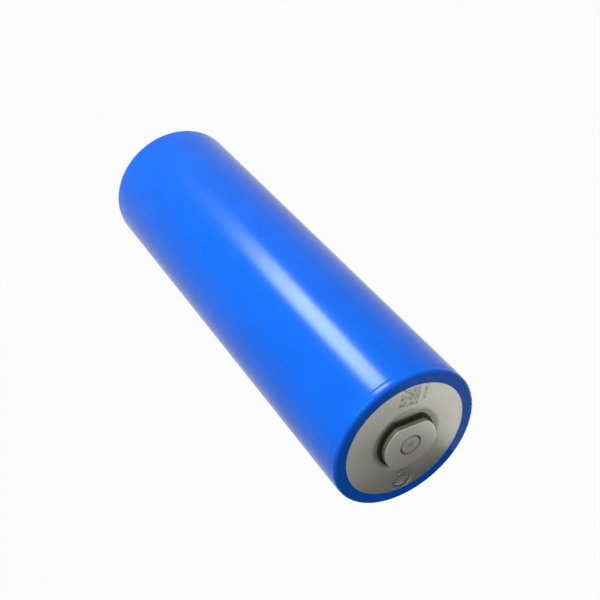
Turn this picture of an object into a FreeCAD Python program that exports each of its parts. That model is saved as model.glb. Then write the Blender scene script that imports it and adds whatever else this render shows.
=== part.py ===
"""Large cylindrical lithium iron phosphate cell, built as it is assembled, in millimetres.

The cell stands on its closed negative end with the positive terminal up. The axis is Z and the origin is the
centre of the foot, on the surface that the cell stands on. The flats of the terminal face +Y and -Y, and the
filling port is on the +Y side. Pieces are listed from the outside in. Every piece is a solid of its own.
"""

import FreeCAD
import Part
import math
import os

# ---- The cell as a whole
OVERALL_HEIGHT = 135.0  # foot to the top of the terminal block
BODY_DIAMETER = 40.3  # over the shrink sleeve
TERMINAL_STANDS = 2.0  # terminal block above the sleeve's top lip

# ---- Shrink sleeve: polyester film, folded in over both ends
FILM = 0.15
LIP_WIDTH = 3.35  # from the outside of the body to the lip's inner edge
SHOULDER_RADIUS = 1.0  # outside, at both ends

# ---- Can: deep drawn, nickel-plated steel, closed at the foot
CAN_WALL = 0.45
CAN_FLOOR = 0.8
FLOOR_CORNER = 0.4  # inside radius where wall meets floor
VENT_RADIUS = 11.0  # middle of the ring-shaped vent score
VENT_WIDTH = 0.5
VENT_DEPTH = 0.45
WELD_MARKS = 5  # dimples left where the negative collector is welded through the floor
WELD_MARK_CIRCLE = 1.9
WELD_MARK_RADIUS = 0.55
WELD_MARK_DEPTH = 0.12

# ---- Cover plate: sits on the can's rim, welded round its edge
COVER_FLANGE = 1.2  # part that lies on the rim
COVER_SPIGOT = 0.6  # part that drops into the bore
SPIGOT_CLEARANCE = 0.05
SEAT_DEPTH = 0.15  # pressed seat round the terminal
SEAT_MARGIN = 1.6  # seat beyond the insulator
SEAT_SLOPE = 0.45  # width of the seat's sloping edge

# ---- Terminal block: round, with two flats
BLOCK_RADIUS = 7.3
BLOCK_FLAT_DEPTH = 1.1  # cut off the round at each flat
BLOCK_CORNER = 0.6  # radius where a flat meets the round
BLOCK_EDGE = 0.2  # radius round the top
RIVET_RADIUS = 2.72  # shank, seen as a ring in the block's top
RIVET_GROOVE = 0.2  # chamfer on both sides of the joint between block and rivet
RIVET_DIMPLE_RADIUS = 0.85
RIVET_DIMPLE_DEPTH = 0.3
RIVET_HEAD_RADIUS = 8.0  # inside the cell
RIVET_HEAD = 1.2

# ---- Insulator and seal of the terminal
INSULATOR_FLANGE = 0.8  # thickness
INSULATOR_STANDS = 0.4  # flange above the pressed seat
INSULATOR_MARGIN = 0.7  # flange beyond the block
INSULATOR_EDGE = 0.2  # radius round the flange's top
INSULATOR_NECK = 0.6  # from the flange up to the block
INSULATOR_NECK_INSET = 0.25  # neck inside the block's edge
INSULATOR_CLEARANCE = 0.05
GASKET_WALL = 0.9
GASKET_FLANGE_WIDTH = 1.9  # beyond the gasket's wall, under the cover
INNER_PLATE = 0.8  # inner insulator and gasket flange are as thick as each other

# ---- Filling port
PORT_INSET = 3.05  # from the lip's inner edge to the port's centre
PORT_SEAT_RADIUS = 3.6
PORT_SEAT_DEPTH = 0.15
PORT_HOLE_RADIUS = 0.9
PLUG_RADIUS = 1.9
PLUG_THICKNESS = 0.6
PLUG_BEAD_WIDTH = 0.9  # weld bead on the plug's edge
PLUG_BEAD_HEIGHT = 0.22
PLUG_CLEARANCE = 0.02
PIN_HEAD_RADIUS = 1.5
PIN_HEAD = 0.4
PIN_REACH = 0.3  # past the cover's inner face

# ---- Positive lead, collectors and spacer collar
LEAD_WIDTH = 11.0
LEAD_THICKNESS = 0.4
LEAD_HALF_LENGTH = 6.5  # from the axis to the start of the fold, and to the free ends
LEAD_HEIGHT = 2.6  # folded
COLLECTOR = 0.5
COLLECTOR_MARGIN = 2.0  # collector's edge to the can's bore
COLLECTOR_BORE = 2.4
COLLECTOR_HOLES = 6
COLLECTOR_HOLE_RADIUS = 1.5
WELD_TROUGH_WIDTH = 1.6
WELD_TROUGH_DEPTH = 0.2
TROUGH_INSET = 1.6  # trough's outer end to the collector's edge
COLLAR_CLEARANCE = 0.1
COLLAR_LEDGE = 0.8
COLLAR_GRIP = 1.4  # how far the ledge laps the collector

# ---- Winding: separator, positive sheet, separator, negative sheet, from the core out
CORE_RADIUS_LEAST = 2.6
SEPARATOR = 0.08
POSITIVE_FOIL = 0.1
POSITIVE_COATING = 0.16  # each face
NEGATIVE_FOIL = 0.08
NEGATIVE_COATING = 0.11  # each face
SHEET_GAP = 0.02
TAPE = 0.1
TAPE_WIDTH = 12.0
ROLL_CLEARANCE = 0.15  # roll to can bore
BARE_FOIL = 2.9  # uncoated edge beyond the separators' ends, towards the collector
SEPARATOR_OVERLAP = 1.5  # separators beyond the negative coating
COATING_OVERLAP = 1.5  # negative coating beyond the positive coating

# ---- Levels and radii that follow
BODY_RADIUS = BODY_DIAMETER / 2
CAN_RADIUS = BODY_RADIUS - FILM
BORE_RADIUS = CAN_RADIUS - CAN_WALL
LIP_RADIUS = BODY_RADIUS - LIP_WIDTH
CAN_SHOULDER = SHOULDER_RADIUS - FILM
SLEEVE_TOP = OVERALL_HEIGHT - TERMINAL_STANDS
COVER_TOP = SLEEVE_TOP - FILM
RIM = COVER_TOP - COVER_FLANGE
COVER_UNDER = RIM - COVER_SPIGOT
SEAT_FLOOR = COVER_TOP - SEAT_DEPTH
FLANGE_TOP = SEAT_FLOOR + INSULATOR_STANDS
POCKET_FLOOR = FLANGE_TOP - INSULATOR_FLANGE
BLOCK_UNDER = FLANGE_TOP + INSULATOR_NECK
INNER_UNDER = COVER_UNDER - INNER_PLATE
RIVET_UNDER = INNER_UNDER - RIVET_HEAD
COLLECTOR_TOP = RIVET_UNDER - LEAD_HEIGHT
ROLL_TOP = COLLECTOR_TOP - COLLECTOR
FLOOR_TOP = FILM + CAN_FLOOR
ROLL_FOOT = FLOOR_TOP + COLLECTOR
COLLECTOR_RADIUS = BORE_RADIUS - COLLECTOR_MARGIN
GASKET_RADIUS = RIVET_RADIUS + GASKET_WALL
GASKET_FLANGE_RADIUS = GASKET_RADIUS + GASKET_FLANGE_WIDTH
PORT_CENTRE = LIP_RADIUS - PORT_INSET
PORT_FLOOR = COVER_TOP - PORT_SEAT_DEPTH
PLUG_UNDER = PORT_FLOOR - PLUG_THICKNESS
PIN_SEAT = PLUG_UNDER - PIN_HEAD

UP = FreeCAD.Vector(0, 0, 1)
ORIGIN = FreeCAD.Vector(0, 0, 0)
TOUCH = 1e-4  # two places nearer than this are the same place


# ---- Ways of making a shape
def at(radius, height):
    """A point of a turned profile: distance from the axis, and height."""
    return FreeCAD.Vector(radius, 0, height)


def straight(start, end):
    return Part.LineSegment(start, end).toShape()


def quarter(start, end, centre):
    """A quarter circle from start to end about centre."""
    radius = (start - centre).Length
    outward = (start - centre) + (end - centre)
    middle = centre + outward * (radius / outward.Length)
    return Part.Arc(start, middle, end).toShape()


def turned(edges):
    """The solid that a closed profile sweeps round the axis."""
    return Part.Face(Part.Wire(edges)).revolve(ORIGIN, UP, 360)


def disc(radius, low, high, x=0.0, y=0.0):
    return Part.makeCylinder(radius, high - low, FreeCAD.Vector(x, y, low))


def ring(inner, outer, low, high):
    return disc(outer, low, high).cut(disc(inner, low, high))


def ring_of_tools(count, radius, tool):
    """Copies of a tool, moved out by radius and spaced evenly round the axis."""
    tools = []
    for i in range(count):
        copy = tool.copy()
        copy.translate(FreeCAD.Vector(radius, 0, 0))
        copy.rotate(ORIGIN, UP, 360.0 * i / count)
        tools.append(copy)
    return tools


def is_upright_corner(edge, flat):
    """True for an upright edge where a flat, that far from the axis, meets the round."""
    if len(edge.Vertexes) != 2:
        return False
    a, b = (v.Point for v in edge.Vertexes)
    return math.hypot(a.x - b.x, a.y - b.y) < TOUCH and abs(abs(a.y) - flat) < TOUCH


def edges_at(shape, height):
    """The edges that lie in one level plane."""
    return [e for e in shape.Edges if all(abs(v.Point.z - height) < TOUCH for v in e.Vertexes)]


def block_outline(grown, low, high):
    """The terminal block's plan, a round with flats on +Y and -Y, grown all round by a margin."""
    radius = BLOCK_RADIUS + grown
    flat = radius - BLOCK_FLAT_DEPTH
    slab = Part.makeBox(2 * radius, 2 * flat, high - low, FreeCAD.Vector(-radius, -flat, low))
    blank = disc(radius, low, high).common(slab)
    corners = [e for e in blank.Edges if is_upright_corner(e, flat)]
    return blank.makeFillet(BLOCK_CORNER + grown, corners)


# ---- Sleeve, can and cover
def shrink_sleeve():
    """One film with its two lips, as thick all over."""
    shoulder_z = SLEEVE_TOP - SHOULDER_RADIUS
    shoulder_r = BODY_RADIUS - SHOULDER_RADIUS
    top_centre = at(shoulder_r, shoulder_z)
    foot_centre = at(shoulder_r, SHOULDER_RADIUS)
    return turned([
        straight(at(LIP_RADIUS, SLEEVE_TOP), at(shoulder_r, SLEEVE_TOP)),
        quarter(at(shoulder_r, SLEEVE_TOP), at(BODY_RADIUS, shoulder_z), top_centre),
        straight(at(BODY_RADIUS, shoulder_z), at(BODY_RADIUS, SHOULDER_RADIUS)),
        quarter(at(BODY_RADIUS, SHOULDER_RADIUS), at(shoulder_r, 0), foot_centre),
        straight(at(shoulder_r, 0), at(LIP_RADIUS, 0)),
        straight(at(LIP_RADIUS, 0), at(LIP_RADIUS, FILM)),
        straight(at(LIP_RADIUS, FILM), at(shoulder_r, FILM)),
        quarter(at(shoulder_r, FILM), at(CAN_RADIUS, SHOULDER_RADIUS), foot_centre),
        straight(at(CAN_RADIUS, SHOULDER_RADIUS), at(CAN_RADIUS, shoulder_z)),
        quarter(at(CAN_RADIUS, shoulder_z), at(shoulder_r, COVER_TOP), top_centre),
        straight(at(shoulder_r, COVER_TOP), at(LIP_RADIUS, COVER_TOP)),
        straight(at(LIP_RADIUS, COVER_TOP), at(LIP_RADIUS, SLEEVE_TOP)),
    ])


def can():
    """Wall and floor in one, with the vent score and the weld marks in the floor's outer face."""
    corner_r = CAN_RADIUS - CAN_SHOULDER
    inner_r = BORE_RADIUS - FLOOR_CORNER
    inner_z = FLOOR_TOP + FLOOR_CORNER
    outer_z = FILM + CAN_SHOULDER
    shell = turned([
        straight(at(0, FILM), at(corner_r, FILM)),
        quarter(at(corner_r, FILM), at(CAN_RADIUS, outer_z), at(corner_r, outer_z)),
        straight(at(CAN_RADIUS, outer_z), at(CAN_RADIUS, RIM)),
        straight(at(CAN_RADIUS, RIM), at(BORE_RADIUS, RIM)),
        straight(at(BORE_RADIUS, RIM), at(BORE_RADIUS, inner_z)),
        quarter(at(BORE_RADIUS, inner_z), at(inner_r, FLOOR_TOP), at(inner_r, inner_z)),
        straight(at(inner_r, FLOOR_TOP), at(0, FLOOR_TOP)),
        straight(at(0, FLOOR_TOP), at(0, FILM)),
    ])
    inner, outer = VENT_RADIUS - VENT_WIDTH / 2, VENT_RADIUS + VENT_WIDTH / 2
    score = turned([
        straight(at(inner, FILM), at(outer, FILM)),
        straight(at(outer, FILM), at(VENT_RADIUS, FILM + VENT_DEPTH)),
        straight(at(VENT_RADIUS, FILM + VENT_DEPTH), at(inner, FILM)),
    ])
    mark = Part.makeCone(WELD_MARK_RADIUS, WELD_MARK_RADIUS / 2, WELD_MARK_DEPTH, FreeCAD.Vector(0, 0, FILM))
    return shell.cut([score] + ring_of_tools(WELD_MARKS, WELD_MARK_CIRCLE, mark))


def cover_plate():
    corner_r = CAN_RADIUS - CAN_SHOULDER
    corner_z = COVER_TOP - CAN_SHOULDER
    spigot_r = BORE_RADIUS - SPIGOT_CLEARANCE
    plate = turned([
        straight(at(0, COVER_TOP), at(corner_r, COVER_TOP)),
        quarter(at(corner_r, COVER_TOP), at(CAN_RADIUS, corner_z), at(corner_r, corner_z)),
        straight(at(CAN_RADIUS, corner_z), at(CAN_RADIUS, RIM)),
        straight(at(CAN_RADIUS, RIM), at(spigot_r, RIM)),
        straight(at(spigot_r, RIM), at(spigot_r, COVER_UNDER)),
        straight(at(spigot_r, COVER_UNDER), at(0, COVER_UNDER)),
        straight(at(0, COVER_UNDER), at(0, COVER_TOP)),
    ])
    seat_r = BLOCK_RADIUS + INSULATOR_MARGIN + SEAT_MARGIN
    seat = Part.makeCone(seat_r - SEAT_SLOPE, seat_r, SEAT_DEPTH, FreeCAD.Vector(0, 0, SEAT_FLOOR))
    pocket = block_outline(INSULATOR_MARGIN + INSULATOR_CLEARANCE, POCKET_FLOOR, COVER_TOP)
    return plate.cut([
        seat,
        pocket,
        disc(GASKET_RADIUS, COVER_UNDER, COVER_TOP),
        disc(PORT_SEAT_RADIUS, PORT_FLOOR, COVER_TOP, y=PORT_CENTRE),
        disc(PLUG_RADIUS + PLUG_CLEARANCE, PIN_SEAT, COVER_TOP, y=PORT_CENTRE),
        disc(PORT_HOLE_RADIUS, COVER_UNDER, COVER_TOP, y=PORT_CENTRE),
    ])


# ---- Positive terminal
def terminal_block():
    """The block that a busbar is welded to. The rivet fills its hole."""
    blank = block_outline(0, BLOCK_UNDER, OVERALL_HEIGHT)
    blank = blank.makeFillet(BLOCK_EDGE, edges_at(blank, OVERALL_HEIGHT))
    groove = Part.makeCone(
        RIVET_RADIUS, RIVET_RADIUS + RIVET_GROOVE, RIVET_GROOVE,
        FreeCAD.Vector(0, 0, OVERALL_HEIGHT - RIVET_GROOVE),
    )
    return blank.cut([disc(RIVET_RADIUS, BLOCK_UNDER, OVERALL_HEIGHT), groove])


def terminal_rivet():
    """Head inside the cell, shank up through the cover and the block."""
    dimple_z = OVERALL_HEIGHT - RIVET_DIMPLE_DEPTH
    groove_z = OVERALL_HEIGHT - RIVET_GROOVE
    return turned([
        straight(at(0, RIVET_UNDER), at(RIVET_HEAD_RADIUS, RIVET_UNDER)),
        straight(at(RIVET_HEAD_RADIUS, RIVET_UNDER), at(RIVET_HEAD_RADIUS, INNER_UNDER)),
        straight(at(RIVET_HEAD_RADIUS, INNER_UNDER), at(RIVET_RADIUS, INNER_UNDER)),
        straight(at(RIVET_RADIUS, INNER_UNDER), at(RIVET_RADIUS, groove_z)),
        straight(at(RIVET_RADIUS, groove_z), at(RIVET_RADIUS - RIVET_GROOVE, OVERALL_HEIGHT)),
        straight(at(RIVET_RADIUS - RIVET_GROOVE, OVERALL_HEIGHT), at(RIVET_DIMPLE_RADIUS, OVERALL_HEIGHT)),
        straight(at(RIVET_DIMPLE_RADIUS, OVERALL_HEIGHT), at(0, dimple_z)),
        straight(at(0, dimple_z), at(0, RIVET_UNDER)),
    ])


def terminal_insulator():
    """Dark plastic, keeps the block off the cover: a neck, and a flange in a pocket of its own outline."""
    flange = block_outline(INSULATOR_MARGIN, POCKET_FLOOR, FLANGE_TOP)
    flange = flange.makeFillet(INSULATOR_EDGE, edges_at(flange, FLANGE_TOP))
    neck = block_outline(-INSULATOR_NECK_INSET, POCKET_FLOOR, BLOCK_UNDER)
    return flange.fuse(neck).removeSplitter().cut(
        disc(RIVET_RADIUS + INSULATOR_CLEARANCE, POCKET_FLOOR, BLOCK_UNDER)
    )


def terminal_gasket():
    """Rubber collar round the shank, with a flange squeezed between the rivet's head and the cover."""
    return turned([
        straight(at(RIVET_RADIUS, INNER_UNDER), at(GASKET_FLANGE_RADIUS, INNER_UNDER)),
        straight(at(GASKET_FLANGE_RADIUS, INNER_UNDER), at(GASKET_FLANGE_RADIUS, COVER_UNDER)),
        straight(at(GASKET_FLANGE_RADIUS, COVER_UNDER), at(GASKET_RADIUS, COVER_UNDER)),
        straight(at(GASKET_RADIUS, COVER_UNDER), at(GASKET_RADIUS, POCKET_FLOOR)),
        straight(at(GASKET_RADIUS, POCKET_FLOOR), at(RIVET_RADIUS, POCKET_FLOOR)),
        straight(at(RIVET_RADIUS, POCKET_FLOOR), at(RIVET_RADIUS, INNER_UNDER)),
    ])


def cover_insulator():
    """Plastic plate under the cover, round the gasket's flange, open under the filling port."""
    plate = ring(
        GASKET_FLANGE_RADIUS + INSULATOR_CLEARANCE, BORE_RADIUS - COLLAR_CLEARANCE, INNER_UNDER, COVER_UNDER
    )
    return plate.cut(disc(PIN_HEAD_RADIUS, INNER_UNDER, COVER_UNDER, y=PORT_CENTRE))


# ---- Filling port
def fill_plug():
    """Small disc, welded round its edge once the cell is filled."""
    inner = PLUG_RADIUS - PLUG_BEAD_WIDTH / 2
    outer = PLUG_RADIUS + PLUG_BEAD_WIDTH / 2
    crest = at(PLUG_RADIUS, PORT_FLOOR + PLUG_BEAD_HEIGHT)
    profile = [
        straight(at(0, PLUG_UNDER), at(PLUG_RADIUS, PLUG_UNDER)),
        straight(at(PLUG_RADIUS, PLUG_UNDER), at(PLUG_RADIUS, PORT_FLOOR)),
        straight(at(PLUG_RADIUS, PORT_FLOOR), at(outer, PORT_FLOOR)),
        Part.Arc(at(outer, PORT_FLOOR), crest, at(inner, PORT_FLOOR)).toShape(),
        straight(at(inner, PORT_FLOOR), at(0, PORT_FLOOR)),
        straight(at(0, PORT_FLOOR), at(0, PLUG_UNDER)),
    ]
    plug = turned(profile)
    plug.translate(FreeCAD.Vector(0, PORT_CENTRE, 0))
    return plug


def fill_pin():
    """Rubber pin that closes the hole under the plug."""
    head = disc(PIN_HEAD_RADIUS, PIN_SEAT, PLUG_UNDER, y=PORT_CENTRE)
    shank = disc(PORT_HOLE_RADIUS, COVER_UNDER - PIN_REACH, PIN_SEAT, y=PORT_CENTRE)
    return head.fuse(shank).removeSplitter()


# ---- Current path inside the cell
def positive_lead():
    """Aluminium strip folded once: welded to the rivet's head above, and to the collector below."""
    bend = LEAD_HEIGHT / 2
    inner = bend - LEAD_THICKNESS
    middle = COLLECTOR_TOP + bend
    far, near = LEAD_HALF_LENGTH, -LEAD_HALF_LENGTH

    def leaf_end(low, high):
        return straight(at(near, low), at(near, high))

    profile = [
        straight(at(near, RIVET_UNDER), at(far, RIVET_UNDER)),
        Part.Arc(at(far, RIVET_UNDER), at(far + bend, middle), at(far, COLLECTOR_TOP)).toShape(),
        straight(at(far, COLLECTOR_TOP), at(near, COLLECTOR_TOP)),
        leaf_end(COLLECTOR_TOP, COLLECTOR_TOP + LEAD_THICKNESS),
        straight(at(near, COLLECTOR_TOP + LEAD_THICKNESS), at(far, COLLECTOR_TOP + LEAD_THICKNESS)),
        Part.Arc(
            at(far, COLLECTOR_TOP + LEAD_THICKNESS),
            at(far + inner, middle),
            at(far, RIVET_UNDER - LEAD_THICKNESS),
        ).toShape(),
        straight(at(far, RIVET_UNDER - LEAD_THICKNESS), at(near, RIVET_UNDER - LEAD_THICKNESS)),
        leaf_end(RIVET_UNDER - LEAD_THICKNESS, RIVET_UNDER),
    ]
    strip = Part.Face(Part.Wire(profile)).extrude(FreeCAD.Vector(0, LEAD_WIDTH, 0))
    strip.translate(FreeCAD.Vector(0, -LEAD_WIDTH / 2, 0))
    return strip


def collector(low, trough_low):
    """Thin disc with drain holes, and pressed weld troughs between them."""
    high = low + COLLECTOR
    reach = COLLECTOR_RADIUS - TROUGH_INSET
    start = COLLECTOR_BORE + TROUGH_INSET
    trough = Part.makeBox(
        reach - start, WELD_TROUGH_WIDTH, WELD_TROUGH_DEPTH,
        FreeCAD.Vector(0, -WELD_TROUGH_WIDTH / 2, trough_low),
    )
    holes = ring_of_tools(COLLECTOR_HOLES, (start + reach) / 2, disc(COLLECTOR_HOLE_RADIUS, low, high))
    for hole in holes:
        hole.rotate(ORIGIN, UP, 180.0 / COLLECTOR_HOLES)
    return disc(COLLECTOR_RADIUS, low, high).cut(holes + ring_of_tools(COLLECTOR_HOLES, start, trough))


def positive_collector():
    """It has a bore over the roll's core, for the electrode that welds the negative end."""
    plate = collector(ROLL_TOP, COLLECTOR_TOP - WELD_TROUGH_DEPTH)
    return plate.cut(disc(COLLECTOR_BORE, ROLL_TOP, COLLECTOR_TOP))


def negative_collector():
    """Whole in the middle, where it is welded to the can's floor."""
    return collector(FLOOR_TOP, FLOOR_TOP)


def spacer_collar():
    """Plastic collar between the roll and the cover, its ledge holding the positive collector's edge down."""
    outer = BORE_RADIUS - COLLAR_CLEARANCE
    edge = COLLECTOR_RADIUS + COLLAR_CLEARANCE
    ledge = COLLECTOR_RADIUS - COLLAR_GRIP
    ledge_top = COLLECTOR_TOP + COLLAR_LEDGE
    return turned([
        straight(at(edge, ROLL_TOP), at(outer, ROLL_TOP)),
        straight(at(outer, ROLL_TOP), at(outer, INNER_UNDER)),
        straight(at(outer, INNER_UNDER), at(edge, INNER_UNDER)),
        straight(at(edge, INNER_UNDER), at(edge, ledge_top)),
        straight(at(edge, ledge_top), at(ledge, ledge_top)),
        straight(at(ledge, ledge_top), at(ledge, COLLECTOR_TOP)),
        straight(at(ledge, COLLECTOR_TOP), at(edge, COLLECTOR_TOP)),
        straight(at(edge, COLLECTOR_TOP), at(edge, ROLL_TOP)),
    ])


# ---- Winding. Each sheet is a run of half circles about two centres in turn, which step it out by half a
# pitch each time. The roll fills the bore, and the core is what is left inside it.
POSITIVE_SHEET = POSITIVE_FOIL + 2 * POSITIVE_COATING
NEGATIVE_SHEET = NEGATIVE_FOIL + 2 * NEGATIVE_COATING
PITCH = 2 * SEPARATOR + POSITIVE_SHEET + NEGATIVE_SHEET + 4 * SHEET_GAP
STEP = PITCH / 4  # each centre's distance from the axis
WRAP = SEPARATOR + SHEET_GAP + TAPE  # last turn of separator and the tape on it
ROLL_RADIUS = BORE_RADIUS - ROLL_CLEARANCE
TURNS = int((ROLL_RADIUS - WRAP - STEP - CORE_RADIUS_LEAST) / PITCH) - 1
HALF_TURNS = 2 * TURNS
FIRST_RADIUS = ROLL_RADIUS - WRAP - STEP - (HALF_TURNS + 1) * PITCH / 2


def wound(offset, thickness, first, last, low, high):
    """A sheet at an offset into the pitch, from half turn first up to half turn last, low to high."""

    def half_circle(i, radius, backwards):
        side = 1 if i % 2 == 0 else -1
        centre = -STEP * side
        ends = [at(centre + radius * side, low), at(centre - radius * side, low)]
        middle = FreeCAD.Vector(centre, radius * side, low)
        if backwards:
            ends.reverse()
        return Part.Arc(ends[0], middle, ends[1]).toShape()

    def edge_point(i, radius):
        side = 1 if i % 2 == 0 else -1
        return at(-STEP * side + radius * side, low)

    indices = range(first, last)
    inner = [FIRST_RADIUS + i * PITCH / 2 + offset for i in indices]
    edges = [half_circle(i, r, False) for i, r in zip(indices, inner)]
    end_in = edge_point(last, inner[-1] + PITCH / 2)
    end_out = edge_point(last, inner[-1] + PITCH / 2 + thickness)
    edges.append(straight(end_in, end_out))
    edges += [half_circle(i, r + thickness, True) for i, r in reversed(list(zip(indices, inner)))]
    edges.append(straight(edge_point(first, inner[0] + thickness), edge_point(first, inner[0])))
    return Part.Face(Part.Wire(edges)).extrude(FreeCAD.Vector(0, 0, high - low))


def winding():
    """The eight layers of the roll and its two closing tapes, by name."""
    positive_at = SEPARATOR + SHEET_GAP
    outer_separator_at = positive_at + POSITIVE_SHEET + SHEET_GAP
    negative_at = outer_separator_at + SEPARATOR + SHEET_GAP
    separator_low = ROLL_FOOT + BARE_FOIL
    separator_high = ROLL_TOP - BARE_FOIL
    negative_low = separator_low + SEPARATOR_OVERLAP
    negative_high = separator_high - SEPARATOR_OVERLAP
    positive_low = negative_low + COATING_OVERLAP
    positive_high = negative_high - COATING_OVERLAP
    tape_at = SEPARATOR + SHEET_GAP
    positive_run = (2, HALF_TURNS - 1)
    negative_run = (1, HALF_TURNS)

    def positive(offset, thickness, high):
        return wound(positive_at + offset, thickness, *positive_run, positive_low, high)

    def negative(offset, thickness, low):
        return wound(negative_at + offset, thickness, *negative_run, low, negative_high)

    def tape(low):
        return wound(tape_at, TAPE, HALF_TURNS, HALF_TURNS + 2, low, low + TAPE_WIDTH)

    return {
        "separator_inner": wound(0, SEPARATOR, 0, HALF_TURNS + 2, separator_low, separator_high),
        "separator_outer": wound(outer_separator_at, SEPARATOR, 0, HALF_TURNS, separator_low, separator_high),
        "positive_foil": positive(POSITIVE_COATING, POSITIVE_FOIL, ROLL_TOP),
        "positive_coating_inner": positive(0, POSITIVE_COATING, positive_high),
        "positive_coating_outer": positive(POSITIVE_COATING + POSITIVE_FOIL, POSITIVE_COATING, positive_high),
        "negative_foil": negative(NEGATIVE_COATING, NEGATIVE_FOIL, ROLL_FOOT),
        "negative_coating_inner": negative(0, NEGATIVE_COATING, negative_low),
        "negative_coating_outer": negative(NEGATIVE_COATING + NEGATIVE_FOIL, NEGATIVE_COATING, negative_low),
        "closing_tape_top": tape(separator_high - TAPE_WIDTH),
        "closing_tape_bottom": tape(separator_low),
    }


def pieces():
    made = {
        maker.__name__: maker()
        for maker in (
            shrink_sleeve, can, cover_plate,
            terminal_block, terminal_rivet, terminal_insulator, terminal_gasket, cover_insulator,
            fill_plug, fill_pin,
            positive_lead, positive_collector, spacer_collar, negative_collector,
        )
    }
    made.update(winding())
    return made


os.makedirs("parts", exist_ok=True)
for name, shape in pieces().items():
    shape.exportStep(f"parts/{name}.step")
    print(f"{name:24s} solids {len(shape.Solids)} valid {shape.isValid()} volume {shape.Volume:10.2f} mm3")
print(f"turns {TURNS}, pitch {PITCH:.3f}, core radius {FIRST_RADIUS:.2f}")
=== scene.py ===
import math

import bmesh
import bpy
from mathutils import Matrix, Vector


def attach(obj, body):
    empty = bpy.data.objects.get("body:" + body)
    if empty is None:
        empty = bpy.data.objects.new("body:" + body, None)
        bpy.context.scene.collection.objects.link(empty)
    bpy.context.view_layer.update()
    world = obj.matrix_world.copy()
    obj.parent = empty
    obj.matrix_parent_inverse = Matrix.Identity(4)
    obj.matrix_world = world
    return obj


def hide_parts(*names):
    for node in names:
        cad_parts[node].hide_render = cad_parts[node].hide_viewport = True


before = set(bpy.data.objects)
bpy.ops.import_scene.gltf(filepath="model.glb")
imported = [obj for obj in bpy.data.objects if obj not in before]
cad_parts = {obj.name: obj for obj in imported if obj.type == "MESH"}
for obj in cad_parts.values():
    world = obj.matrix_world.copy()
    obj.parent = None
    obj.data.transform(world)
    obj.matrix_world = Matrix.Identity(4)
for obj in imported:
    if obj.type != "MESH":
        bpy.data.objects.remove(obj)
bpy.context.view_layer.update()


# ---- Wound roll
# Two coated foils and two separator films, wound together on a mandrel and closed with two bands of tape.
# Aluminium foil carries the positive coating and copper foil the negative one. Both coatings are powder,
# spread as a paste, dried and rolled hard. The bare edges of the foils stand out at the ends.
def add(tree, kind, inputs=None, **settings):
    """Adds a node. Each input is a plain value, or another node's output to link from."""
    node = tree.nodes.new(kind)
    for setting, value in settings.items():
        setattr(node, setting, value)
    for socket, value in (inputs or {}).items():
        if isinstance(value, bpy.types.NodeSocket):
            tree.links.new(value, node.inputs[socket])
        else:
            node.inputs[socket].default_value = value
    return node


def between(tree, mask, first, second):
    """A colour that goes from first to second as the mask goes from 0 to 1."""
    ends = {6: first, 7: second}
    ends = {i: c if isinstance(c, bpy.types.NodeSocket) else (*c, 1) for i, c in ends.items()}
    return add(tree, "ShaderNodeMix", {0: mask, **ends}, data_type="RGBA").outputs[2]


def spread(tree, value, low, high, start=0.0, end=1.0):
    """A value that goes from low to high as the given one goes from start to end."""
    limits = {"From Min": start, "From Max": end, "To Min": low, "To Max": high}
    return add(tree, "ShaderNodeMapRange", {"Value": value, **limits}).outputs["Result"]


def effect(name, inputs, outputs):
    """An empty group for an effect that several materials share: its tree, input node and output node."""
    tree = bpy.data.node_groups.new(name, "ShaderNodeTree")
    for socket, kind in inputs.items():
        tree.interface.new_socket(socket, in_out="INPUT", socket_type="NodeSocket" + kind)
    for socket in outputs:
        tree.interface.new_socket(socket, in_out="OUTPUT", socket_type="NodeSocketFloat")
    return tree, tree.nodes.new("NodeGroupInput"), tree.nodes.new("NodeGroupOutput")


DRIFT_SCALE = 85.0  # about 12 mm from one light patch to the next
NOISE_LOW, NOISE_HIGH = 0.3, 0.7  # the noise seldom leaves these


def make_grain():
    """Fine relief, and a slow drift of tone, both stretched as the surface was rolled, drawn or turned."""
    sockets = {"Place": "Vector", "Stretch": "Vector", "Fineness": "Float"}
    tree, given, result = effect("surface_grain", sockets, ["Relief", "Tone"])
    g = given.outputs
    drawn = add(tree, "ShaderNodeVectorMath", {0: g["Place"], 1: g["Stretch"]}, operation="MULTIPLY")
    fine = {"Vector": drawn.outputs[0], "Scale": g["Fineness"], "Detail": 4.0, "Roughness": 0.65}
    slow = {"Vector": drawn.outputs[0], "Scale": DRIFT_SCALE, "Detail": 3.0, "Roughness": 0.5}
    tree.links.new(add(tree, "ShaderNodeTexNoise", fine).outputs["Fac"], result.inputs["Relief"])
    drift = add(tree, "ShaderNodeTexNoise", slow).outputs["Fac"]
    tree.links.new(spread(tree, drift, 0, 1, NOISE_LOW, NOISE_HIGH), result.inputs["Tone"])
    return tree


GRAIN = make_grain()


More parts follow.
